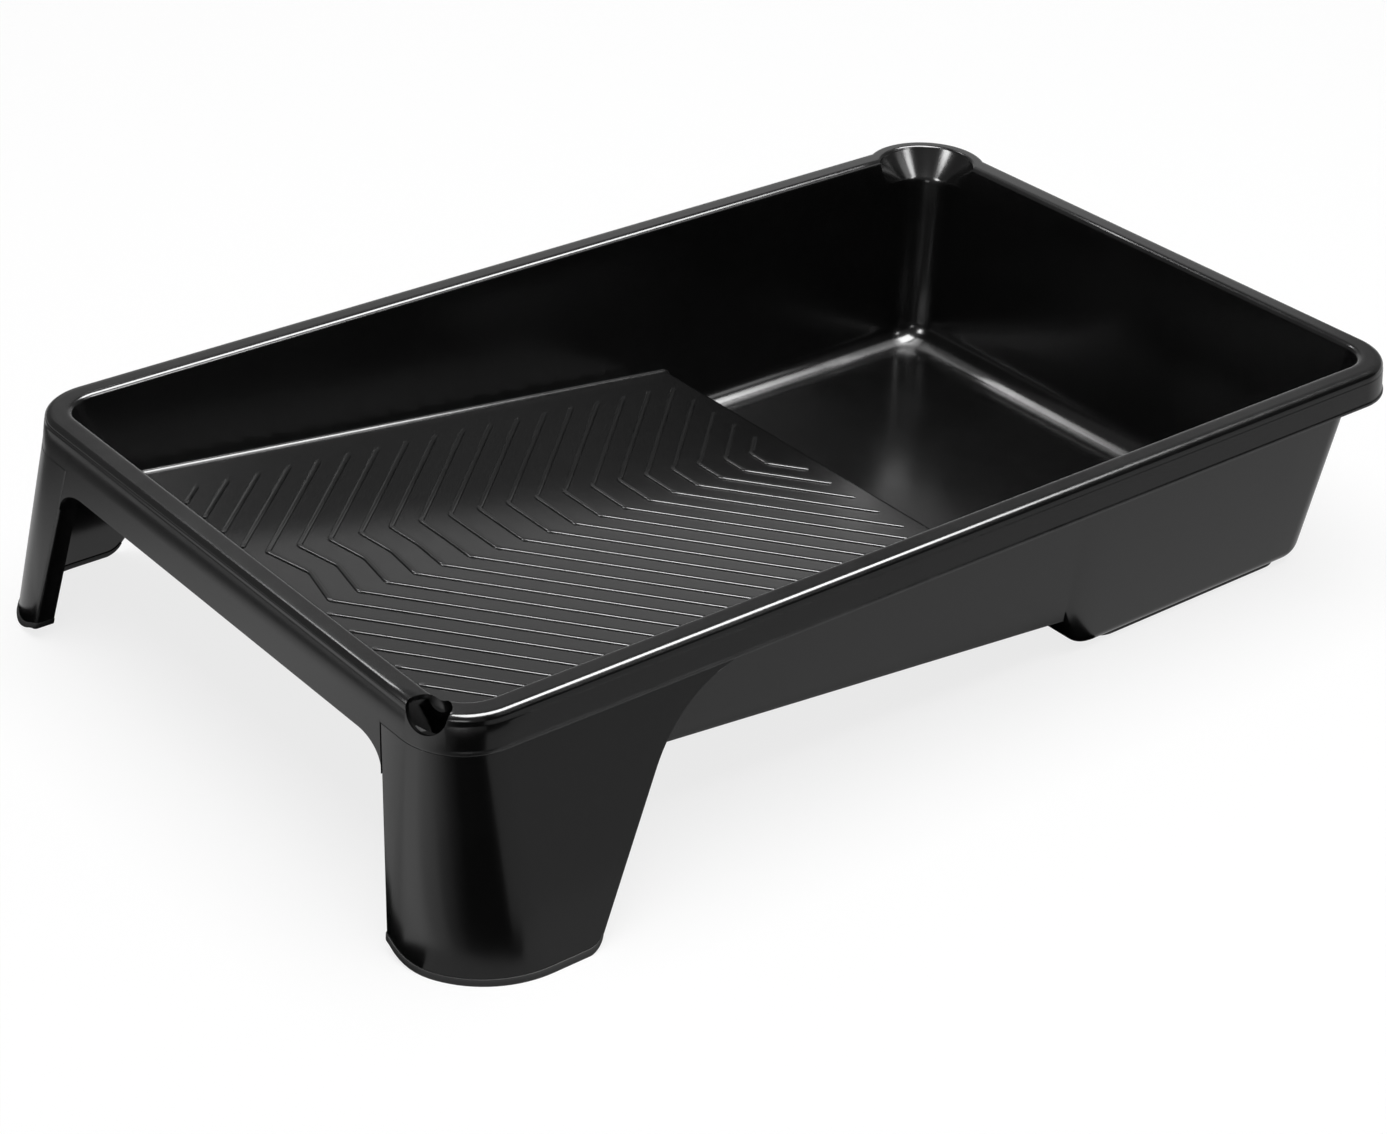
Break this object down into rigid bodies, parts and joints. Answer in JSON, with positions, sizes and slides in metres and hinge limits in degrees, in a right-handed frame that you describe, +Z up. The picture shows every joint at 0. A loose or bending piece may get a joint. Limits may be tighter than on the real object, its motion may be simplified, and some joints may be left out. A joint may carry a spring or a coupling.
{
  "type": "paint roller tray",
  "caption": "Black moulded paint roller tray with a ribbed roll-off ramp, deep paint well, corner pouring spout, corner hanging hole, splayed legs at the shallow end and soft feet.",
  "frame": {"origin": "centre of the object's outline on the floor it stands on", "axes": "+X from the shallow end towards the deep paint well, +Y towards the side with the pouring spout, +Z up"},
  "size_m": [0.5075, 0.3508, 0.097],
  "materials": {
    "black_polypropylene": "semi-gloss injection-moulded black polypropylene",
    "black_polypropylene_legs": "semi-gloss injection-moulded black polypropylene",
    "black_foot_elastomer": "matt black thermoplastic elastomer"
  },
  "bodies": {
    "root": {"tray_basin": "black_polypropylene", "front_leg": "black_polypropylene_legs", "rear_leg": "black_polypropylene_legs", "front_leg_foot": "black_foot_elastomer", "rear_leg_foot": "black_foot_elastomer", "well_foot_ring": "black_foot_elastomer"}
  },
  "joints": []
}
